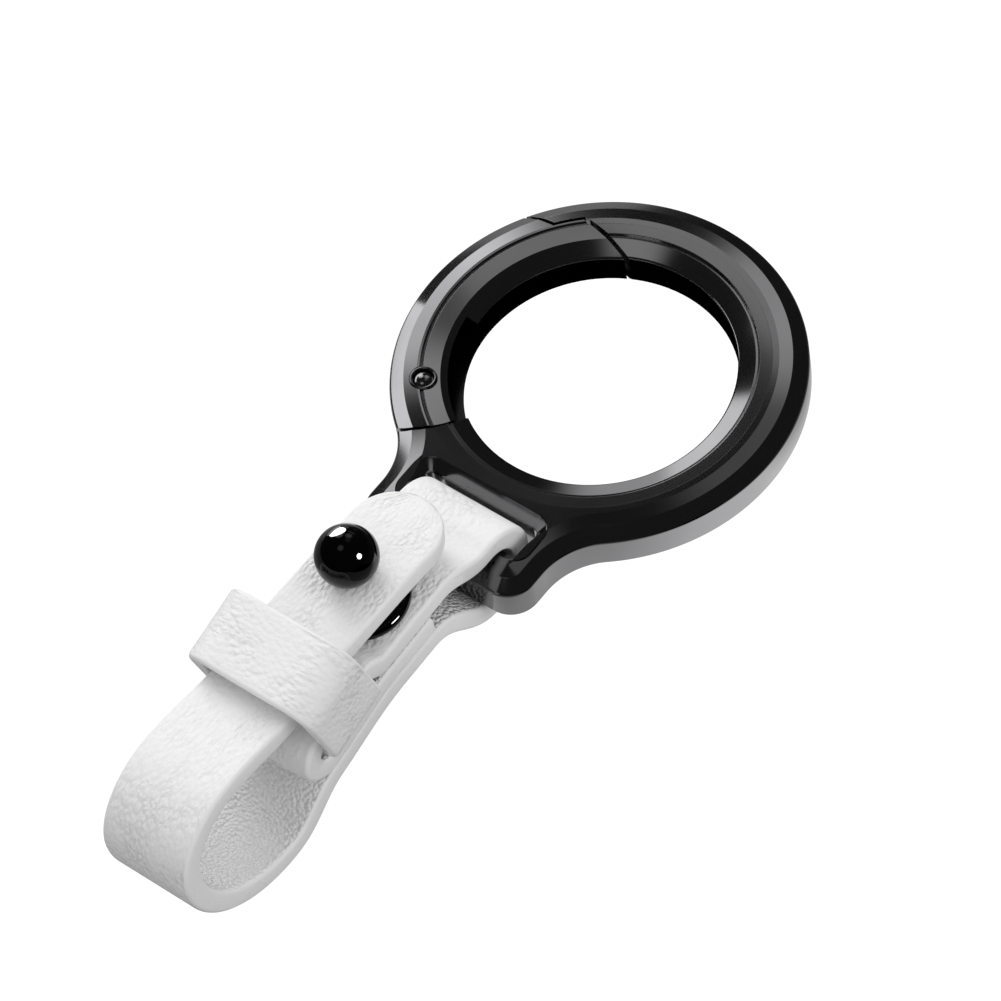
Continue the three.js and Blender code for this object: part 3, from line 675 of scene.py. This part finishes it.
def evenly(points, spacing):
    """The same line with points at even distances."""
    lengths = [0]
    for before, after in zip(points, points[1:]):
        lengths.append(lengths[-1] + (after - before).length)
    count = max(2, round(lengths[-1] / spacing))
    spread = []
    k = 0
    for i in range(count + 1):
        goal = lengths[-1] * i / count
        while k < len(points) - 2 and lengths[k + 1] < goal:
            k += 1
        share = (goal - lengths[k]) / (lengths[k + 1] - lengths[k])
        spread.append(points[k].lerp(points[k + 1], min(share, 1)))
    return spread


KEEPER_HEADING = polar(1, 180 + KEEPER_TILT)
KEEPER_UP = polar(1, 90 + KEEPER_TILT)
KEEPER_LEVEL = (layer_height(1) + layer_height(2)) / 2 - KEEPER_DROP
KEEPER_SEAT = Vector((STUD_Y - KEEPER_PAST_STUD, KEEPER_LEVEL))
KEEPER_FRONT = TONGUE_LEVEL + HALF_LEATHER - KEEPER_LEVEL + KEEPER_ROOM
HALF_KEEPER = KEEPER_LENGTH / 2
FOLD_RADIUS = KEEPER_WALL / 2 + LAYER_GAP + HALF_LEATHER


def by_keeper(along, up):
    """A place near the keeper: along the strap from the middle of its back wall, and up from that wall."""
    return KEEPER_SEAT + KEEPER_HEADING * along + KEEPER_UP * up


BEND_LINE = by_keeper(-HALF_KEEPER, KEEPER_FRONT + KEEPER_WALL).x


def clamped_route():
    """From the turned-in end, round the keeper's back wall, over the bar and through the slot."""
    down = polar(1, 180 + KEEPER_TILT)
    back = polar(1, KEEPER_TILT)
    fold_start = by_keeper(HALF_KEEPER - FOLD_TUCK, -FOLD_RADIUS)
    points = bends_through([
        station(STUD_Y + RETURN_PAST_STUD, layer_height(1), 180),
        station(STUD_Y - POST_RADIUS, layer_height(1), 180),
        (by_keeper(-HALF_KEEPER, -FOLD_RADIUS), down),
        (fold_start, down),
    ])
    points += half_turn(by_keeper(HALF_KEEPER - FOLD_TUCK, 0), fold_start)
    wrap_top = station(0, WRAP_RADIUS, 0)
    points += bends_through([
        (points[-1], back),
        (by_keeper(-HALF_KEEPER, FOLD_RADIUS), back),
        station(STUD_Y - FLANGE_RADIUS + FLANGE_THICKNESS, layer_height(2), 0),
        station(STUD_Y + FLANGE_RADIUS, layer_height(2), 0),
        wrap_top,
    ])[1:]
    return points + half_turn(Vector((0, 0)), wrap_top[0])


def loop_route():
    """From under the bar, below the stud and keeper, round the hanging loop and out to the tongue's tip."""
    clear = by_keeper(HALF_KEEPER, -FOLD_RADIUS - LEATHER - 2 * LAYER_GAP)
    in_keeper = by_keeper(HALF_KEEPER, KEEPER_FRONT - KEEPER_HEADROOM - HALF_LEATHER)
    slope = math.degrees(math.atan2(-TONGUE_RISE, STUD_Y - BEND_LINE))
    return bends_through([
        station(0, -WRAP_RADIUS, 180),
        station(STUD_Y + SCREW_HEAD_RADIUS, layer_height(0), 180),
        station(STUD_Y - POST_RADIUS, layer_height(0), 180),
        station(clear.x, clear.y, 180 + KEEPER_TILT),
        station(-LOOP_END_REACH * LOOP_BOTTOM_SHARE, FLOOR + HALF_LEATHER, 180),
        station(-LOOP_END_REACH, FLOOR + LOOP_END_HEIGHT, 90),
        station(-LOOP_END_REACH * LOOP_TOP_SHARE, TONGUE_LEVEL + LOOP_RISE, 0),
        station(in_keeper.x, in_keeper.y, KEEPER_SLOPE),
        station(BEND_LINE, TONGUE_LEVEL + TONGUE_RISE, slope),
        station(STUD_Y, TONGUE_LEVEL, slope),
        station(STUD_Y + TONGUE_PAST_STUD, TONGUE_LEVEL - TONGUE_DROOP, 2 * slope),
    ])


def band_section(half_width, half_thickness, radius):
    """Corners round a leather band: (across, up, distance round the band, share of cut edge)."""
    spans = 12
    turns = 5
    flat_x = half_width - radius
    flat_y = half_thickness - radius
    crossing = [flat_x * (1 - 2 * k / spans) for k in range(1, spans)]
    line = arc((flat_x, flat_y), radius, 0, 90, turns)
    line += [Vector((x, half_thickness)) for x in crossing]
    line += arc((-flat_x, flat_y), radius, 90, 180, turns)
    line += arc((-flat_x, -flat_y), radius, 180, 270, turns)
    line += [Vector((-x, -half_thickness)) for x in crossing]
    line += arc((flat_x, -flat_y), radius, 270, 360, turns)
    section = []
    run = 0
    for k, point in enumerate(line):
        run += (point - line[k - 1]).length if k else 0
        edge = (abs(point.x) - flat_x) / (0.6 * radius)
        section.append((point.x, point.y, run, max(0.0, min(1.0, edge))))
    return section


def leather_band(name, route, frame_of, section, shares, begin=0.0, closed=False, half_at=None):
    """A band of leather along a route, with a share of the section's width at each point of it.

    frame_of gives a point's place, side and upward directions, half_at its half thickness near an end."""
    bm = bmesh.new()
    flat = bm.loops.layers.uv.new("flat")
    cut = bm.verts.layers.float.new("cut_edge")
    rows = []
    runs = []
    run = begin
    count = len(route)
    for i, point in enumerate(route):
        after = route[(i + 1) % count] if closed else route[min(i + 1, count - 1)]
        before = route[i - 1] if closed else route[max(i - 1, 0)]
        run += (point - route[i - 1]).length if i else 0
        runs.append(run)
        along = (after - before).normalized()
        place, side, up = frame_of(point, Vector((-along.y, along.x)))
        row = []
        for x, y, _, edge in section:
            rise = math.copysign(min(abs(y), half_at(point, x * shares[i])), y) if half_at else y
            corner = bm.verts.new(place + side * (x * shares[i]) + up * rise)
            corner[cut] = edge
            row.append(corner)
        rows.append(row)
    total = runs[-1] + (route[0] - route[-1]).length
    lanes = len(section)
    whole = section[-1][2] + (Vector(section[0][:2]) - Vector(section[-1][:2])).length
    for i in range(count if closed else count - 1):
        nxt = (i + 1) % count
        lengths = (runs[i], runs[nxt] if nxt else total)
        for k in range(lanes):
            j = (k + 1) % lanes
            widths = (section[k][2], section[j][2] if j else whole)
            face = bm.faces.new((rows[i][k], rows[i][j], rows[nxt][j], rows[nxt][k]))
            spots = ((0, 0), (0, 1), (1, 1), (1, 0))
            for loop, (a, b) in zip(face.loops, spots):
                loop[flat].uv = (lengths[a], widths[b])
    if not closed:
        bm.faces.new(rows[0])
        bm.faces.new(rows[-1])
    return crease(mesh_object(name, bm, LEATHER_FINISH), LEATHER_CREASE), runs[-1]


def strap_frame(point, up):
    return Vector((0, point.x, point.y)), ACROSS, Vector((0, up.x, up.y))


def keeper_frame(point, up):
    """The keeper's own outline is drawn across the strap: x is the part's X, y is up from its back wall."""
    seat = Vector((0, KEEPER_SEAT.x, KEEPER_SEAT.y))
    normal = Vector((0, KEEPER_UP.x, KEEPER_UP.y))
    along = Vector((0, KEEPER_HEADING.x, KEEPER_HEADING.y))
    return seat + ACROSS * point.x + normal * point.y, along, ACROSS * up.x + normal * up.y


def split_loop():
    """The loop's points and width shares, on the strap and on the tongue, which meet inside the keeper."""
    points = evenly(loop_route(), ROUTE_STEP)
    top = max(range(len(points)), key=lambda i: points[i].y)
    middle = by_keeper(0, KEEPER_FRONT).x
    cut = next(i for i in range(top, len(points)) if points[i].x > middle)
    bend = next(i for i in range(cut, len(points)) if points[i].x > BEND_LINE)
    taper = TONGUE_WIDTH / STRAP_WIDTH - 1
    shares = [1 + taper * min(i / bend, 1) for i in range(len(points))]
    return (points[:cut + 1], shares[:cut + 1]), (points[cut:], shares[cut:])


STRAP_SECTION = band_section(STRAP_WIDTH / 2, HALF_LEATHER, EDGE_ROUND)
TIP_ANGLES = [*range(0, 90, 3), 88.5, 89.3, 89.8]  # rows round the tongue's tip, closer at its very end


def strap():
    clamped = evenly(clamped_route(), ROUTE_STEP)
    (hanging, shares), _ = split_loop()
    route = clamped + hanging[1:]
    body, length = leather_band(
        "strap_look", route, strap_frame, STRAP_SECTION, [1] * len(clamped) + shares[1:],
    )
    carve(body, disc((0, STUD_Y), POST_RADIUS + HOLE_CLEARANCE, FLOOR, FLANGE_BASE, 64), "DIFFERENCE")
    seat = disc((0, STUD_Y), FLANGE_RADIUS + SEAT_GAP, FLANGE_BASE - SEAT_GAP, TONGUE_LEVEL, 96)
    carve(body, seat, "DIFFERENCE")
    return crease(weld(body), LEATHER_CREASE), length


def tongue(begin):
    """The tongue: a round end, and a hole with a slit that lets the ball through."""
    _, (route, shares) = split_loop()
    half = TONGUE_WIDTH / 2
    middle = STUD_Y + TONGUE_PAST_STUD - half
    line = [point for point in route if point.x < middle]
    widths = shares[:len(line)]
    for degrees in TIP_ANGLES:
        x = middle + half * math.sin(math.radians(degrees))
        k = next(i for i in range(len(route)) if route[i].x > x)
        line.append(route[k - 1].lerp(route[k], (x - route[k - 1].x) / (route[k].x - route[k - 1].x)))
        widths.append(shares[-1] * math.cos(math.radians(degrees)))

    def rounded_end(point, across):
        inwards = half - math.hypot(max(point.x - middle, 0), across)
        short = EDGE_ROUND - min(max(inwards, 0), EDGE_ROUND)
        return HALF_LEATHER - EDGE_ROUND + math.sqrt(EDGE_ROUND ** 2 - short ** 2)

    body, _ = leather_band(
        "tongue_look", line, strap_frame, STRAP_SECTION, widths, begin, half_at=rounded_end,
    )
    low = TONGUE_LEVEL - LEATHER
    high = TONGUE_LEVEL + LEATHER
    carve(body, disc((0, STUD_Y), NECK_RADIUS + HOLE_CLEARANCE, low, high, 64), "DIFFERENCE")
    slit = [Vector((x, STUD_Y + y)) for x in (-SLIT_WIDTH / 2, SLIT_WIDTH / 2) for y in (0, SLIT_LENGTH)]
    carve(body, prism([slit[0], slit[2], slit[3], slit[1]], low, high), "DIFFERENCE")
    return crease(weld(body), LEATHER_CREASE)


def keeper():
    half = STRAP_WIDTH / 2 + KEEPER_CLEARANCE + KEEPER_WALL / 2
    radius = KEEPER_CORNER - KEEPER_WALL / 2
    high = KEEPER_FRONT + KEEPER_WALL / 2
    outline = []
    for x, y, start in ((half, high, 0), (-half, high, 90), (-half, 0, 180), (half, 0, 270)):
        centre = (x - math.copysign(radius, x), y + (radius if y == 0 else -radius))
        outline += arc(centre, radius, start, start + 90, 16)
    points = evenly(outline + outline[:1], ROUTE_STEP)[:-1]
    points.reverse()
    section = band_section(HALF_KEEPER, KEEPER_WALL / 2, KEEPER_EDGE_ROUND)
    body, _ = leather_band("keeper_look", points, keeper_frame, section, [1] * len(points), closed=True)
    return body


def ball_stud():
    post_end = FLOOR + STACK_HEIGHT + POST_SETBACK
    bore = SCREW_RADIUS + BORE_CLEARANCE
    bore_top = FLOOR + STACK_HEIGHT + SCREW_DEPTH + BORE_CLEARANCE
    section = rounded([
        (POST_RADIUS, FLANGE_BASE, 0),
        (FLANGE_RADIUS, FLANGE_BASE, FLANGE_ROUND),
        (FLANGE_RADIUS, FLANGE_TOP, FLANGE_ROUND),
        (NECK_RADIUS, FLANGE_TOP, NECK_FILLET),
        (NECK_RADIUS, FLANGE_TOP + TONGUE_GAP, 0),
    ], 6)
    profile = [(0, bore_top), (bore, bore_top), (bore, post_end), (POST_RADIUS, post_end)]
    profile += [(p.x, p.y) for p in section]
    neck = math.degrees(math.asin(NECK_RADIUS / BALL_RADIUS))
    for i in range(40):
        angle = math.radians(neck + (180 - neck) * i / 40)
        profile.append((BALL_RADIUS * math.sin(angle), BALL_LEVEL - BALL_RADIUS * math.cos(angle)))
    profile.append((0, BALL_LEVEL + BALL_RADIUS))
    return lathe("ball_stud_look", profile, (0, STUD_Y), BLACK_LACQUER)


def stud_screw():
    """Slotted screw that draws the stud down from behind."""
    top = FLOOR + STACK_HEIGHT - SEAT_GAP
    low = top - SCREW_HEAD
    tip = FLOOR + STACK_HEIGHT + SCREW_DEPTH
    edge = SCREW_HEAD_RADIUS
    head = rounded([(0.5, low, 0), (edge, low, SCREW_HEAD_ROUND), (edge, top, 0)], 6)
    profile = [(0, low)] + [(p.x, p.y) for p in head] + [(SCREW_RADIUS, top), (SCREW_RADIUS, tip), (0, tip)]
    body = lathe("stud_screw_look", profile, (0, STUD_Y), BLACK_LACQUER, 64)
    reach = edge + 1
    half = SCREW_SLOT_WIDTH / 2
    corners = ((-reach, -half), (reach, -half), (reach, half), (-reach, half))
    drive = [Vector((x, STUD_Y + y)) for x, y in corners]
    carve(body, prism(drive, low - 1, low + SCREW_SLOT_DEPTH), "DIFFERENCE")
    return crease(body, TURNED_CREASE)


# Pieces: most on their bodies, while the tongue and the spring stay in the part's frame

def place_piece(piece, frame_place, body, node):
    """Places a stiff piece on its body."""
    piece.data.transform(frame_place)
    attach(piece, body)
    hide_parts(node)


def bend_piece(piece, frame_place, first, second, start, end, node, slot):
    """Places a piece in the part's frame and hides its CAD node; the bodies, points and slot it is given are
    not used.
    """
    piece.data.transform(frame_place)
    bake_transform(piece)
    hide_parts(node)


place_piece(ring_frame(), RING_PLACE, "ring", "ring_frame")
place_piece(gate(), RING_PLACE, "gate", "gate")
place_piece(gate_pin(), RING_PLACE, "ring", "gate_pin")
strap_piece, strap_length = strap()
place_piece(strap_piece, BAR_PLACE, "strap", "strap_body")
place_piece(keeper(), BAR_PLACE, "strap", "keeper")
ball_piece = ball_stud()
place_piece(ball_piece, BAR_PLACE, "strap", "ball_stud")
place_piece(stud_screw(), BAR_PLACE, "strap", "stud_screw")

bend_line = Vector(joints["tongue_lift"]["pos_m"])
bend_along = Vector((0, MM, 0))
tongue_bend = (bend_line - 0.6 * bend_along, bend_line + 2.6 * bend_along)
bend_piece(tongue(strap_length), BAR_PLACE, "strap", "tongue", *tongue_bend, "strap_tongue", "white_leather")
leg_bends = [RING_PLACE @ (PIN + polar(reach, PIN_ANGLE - 90)).to_3d() for reach in (COIL_RADIUS, GATE_LEG)]
bend_piece(gate_spring(), RING_PLACE, "ring", "gate", *leg_bends, "gate_spring", "spring_steel")


# Studio: white surround, pale floor, soft lamps. Distances of the floor and the cards are in millimetres.
KEY_AIM = Vector((-0.726, 0.395, 0.563)).normalized()
FAR_AIM = Vector((-0.783, 0.507, 0.363)).normalized()
SIDE_AIM = Vector((0.8, 0.225, 0.56)).normalized()
BALL_SIDE_AIM = Vector((0.84, 0.15, 0.49)).normalized()
RING_CENTRE = RING_PLACE.translation
FLOOR_DROP = 45
FLOOR_HALF_WIDTH = 1500
FLOOR_SHOWN = 0.88  # what the floor adds to its shadowed tone where the camera or the polish sees it
LAMP_DISTANCE = 0.5
ROOM_LEVEL = 0.03
FILL_CUT = 0.28  # how much less the surround lights than it shows
GLOWS = (  # pale glows that the metal mirrors: direction, where each begins and where it is full, level
    (Vector((-0.63, 0.45, 0.63)), 0.975, 0.996, 2.1),
    (Vector((-0.25, 0.68, 0.69)), 0.978, 0.996, 1.1),
    (Vector((-0.7, 0.71, 0.05)), 0.975, 0.995, 1.15),
    (Vector((-0.13, -0.14, 0.98)), 0.975, 0.997, 0.8),
    (Vector((-0.1, 0.49, 0.866)), 0.98, 0.997, 0.25),
    (FAR_AIM, 0.97, 0.98, 2.7),
)


def surround():
    """White for the camera. The metal sees a dark room with some pale glows."""
    world = bpy.data.worlds.new("studio")
    world.use_nodes = True
    bpy.context.scene.world = world
    finish = Finish(world.node_tree)
    ray = finish.node("ShaderNodeLightPath")
    outputs = ray.socket.node.outputs
    glossy = Shade(finish, outputs["Is Glossy Ray"])
    diffuse = Shade(finish, outputs["Is Diffuse Ray"])
    direction = finish.node("ShaderNodeTexCoord")
    room = ROOM_LEVEL
    for aim, begin, full, level in GLOWS:
        room = room + finish.smooth(finish.towards(direction, aim.normalized()), begin, full) * level
    shown = finish.mix(glossy, grey(1), room)
    light = finish.node("ShaderNodeBackground", None, {"Color": shown, "Strength": 1 - FILL_CUT * diffuse})
    finish.node("ShaderNodeOutputWorld", None, {"Surface": light})


def stage_sheet(name, corners, material):
    """A flat sheet of the studio, from corners in millimetres."""
    bm = bmesh.new()
    bm.faces.new([bm.verts.new(corner) for corner in corners])
    made = mesh_object(name, bm, material)
    made.data.transform(Matrix.Scale(MM, 4))
    return made


def level_sheet(name, height, material):
    half = FLOOR_HALF_WIDTH
    corners = [(-half, -half), (half, -half), (half, half), (-half, half)]
    return stage_sheet(name, [(x, y, height) for x, y in corners], material)


def floor():
    """Pale floor, white for the camera, that keeps the object's shadow. The strap can hang clear of it."""
    material, finish = new_material("pale_floor")
    ray = finish.node("ShaderNodeLightPath")
    outputs = ray.socket.node.outputs
    names = ("Is Camera Ray", "Is Glossy Ray", "Is Transmission Ray")
    camera, glossy, transmission = [Shade(finish, outputs[name]) for name in names]
    shadow = finish.node("ShaderNodeBsdfDiffuse", None, {"Color": grey(0.2)})
    seen = FLOOR_SHOWN * (camera + glossy + transmission)
    lift = finish.node("ShaderNodeEmission", None, {"Color": grey(1), "Strength": seen})
    both = finish.node("ShaderNodeAddShader", None, {0: shadow, 1: lift})
    finish.node("ShaderNodeOutputMaterial", None, {"Surface": both})
    level_sheet("studio_floor", -FLOOR_DROP, material)


def polish_only(made):
    """Leaves a sheet to be seen in the metal's polish alone."""
    made.visible_camera = False
    made.visible_diffuse = False
    made.visible_shadow = False


def mirrored_table():
    """What the metal sees below it: a sheet that glows in its polish alone. It is pale round the ring, with
    painted shadow of the ring within it and painted shade to the far right.

    Its distances are in metres."""
    material, finish = new_material("mirrored_table")
    spot = finish.node("ShaderNodeNewGeometry")
    across = finish.node("ShaderNodeSeparateXYZ", None, {"Vector": spot})
    along = Shade(finish, across.socket.node.outputs[1])
    # Painted shade: the glowing sheet dims towards the far right.
    painted_far_shade = finish.smooth(across + along, 0.038, 0.046)
    reach = finish.node("ShaderNodeVectorMath", {"operation": "DISTANCE"}, {0: spot, 1: RING_CENTRE}, out=1)
    # Painted shadow of the ring: the sheet is dark within the ring's footprint, and dimmer again further out.
    painted_table_light = finish.smooth(reach, 0.012, 0.017) - 0.7 * finish.smooth(reach, 0.024, 0.032)
    # Painted light: the sheet brightens along y, towards the ring and away from the strap.
    level = 0.9 + 0.9 * finish.smooth(along, 0, 0.014) - 1.6 * painted_far_shade
    light = finish.node("ShaderNodeEmission", None, {"Color": grey(1), "Strength": painted_table_light * level})
    finish.node("ShaderNodeOutputMaterial", None, {"Surface": light})
    polish_only(level_sheet("mirrored_table", -0.1, material))


def card(name, corners, level):
    """A white card near the ring, for its polish."""
    material, finish = new_material(name)
    light = finish.node("ShaderNodeEmission", None, {"Color": grey(1), "Strength": level})
    finish.node("ShaderNodeOutputMaterial", None, {"Surface": light})
    polish_only(stage_sheet(name, corners, material))


def lamp(name, aim, size, power, only=None):
    """A round lamp. It lights everything and shows in nothing, or lights one piece and shows in it."""
    light = bpy.data.lights.new(name, "AREA")
    light.shape = "DISK"
    light.size = size
    light.energy = power
    made = bpy.data.objects.new(name, light)
    made.location = LAMP_DISTANCE * aim
    made.rotation_euler = aim.to_track_quat("Z", "Y").to_euler()
    made.visible_glossy = only is not None
    if only:
        made.light_linking.receiver_collection = bpy.data.collections.new(name)
        made.light_linking.receiver_collection.objects.link(only)
    bpy.context.scene.collection.objects.link(made)


def photo_camera():
    azimuth = math.radians(CAMERA_AZIMUTH)
    elevation = math.radians(CAMERA_ELEVATION)
    flat = math.cos(elevation)
    back = Vector((math.sin(azimuth) * flat, -math.cos(azimuth) * flat, math.sin(elevation)))
    right = Vector((0, 0, 1)).cross(back).normalized()
    turn = Matrix((right, back.cross(right), back)).transposed().to_4x4()
    roll = Matrix.Rotation(math.radians(CAMERA_ROLL), 4, "Z")
    data = bpy.data.cameras.new("photo_camera")
    data.lens = LENS
    data.clip_end = 10
    made = bpy.data.objects.new("photo_camera", data)
    spot = RING_PLACE @ (CAMERA_TARGET + back * CAMERA_DISTANCE)
    made.matrix_world = Matrix.Translation(spot) @ RING_TURN @ turn @ roll
    bpy.context.scene.collection.objects.link(made)
    bpy.context.scene.camera = made


surround()
floor()
mirrored_table()
card("left_card", [(-40, 26, 6.5), (-40, 26, 20), (-40, 2, 30), (-40, -1, 22.5)], 3)
card("top_card", [(-42, 62, 60), (-12, 62, 60), (-12, 76, 60), (-42, 76, 60)], 0.8)
card("gate_card", [(-18, 31, 25), (-11, 31, 25), (-11, 38, 25), (-18, 38, 25)], 0.75)
lamp("key_lamp", KEY_AIM, 0.3, 1)
lamp("side_lamp", SIDE_AIM, 0.3, 0.5)
lamp("far_ball_lamp", FAR_AIM, 0.34, 14, only=ball_piece)
lamp("side_ball_lamp", BALL_SIDE_AIM, 0.16, 6, only=ball_piece)
photo_camera()
bpy.context.scene.view_settings.view_transform = "Standard"
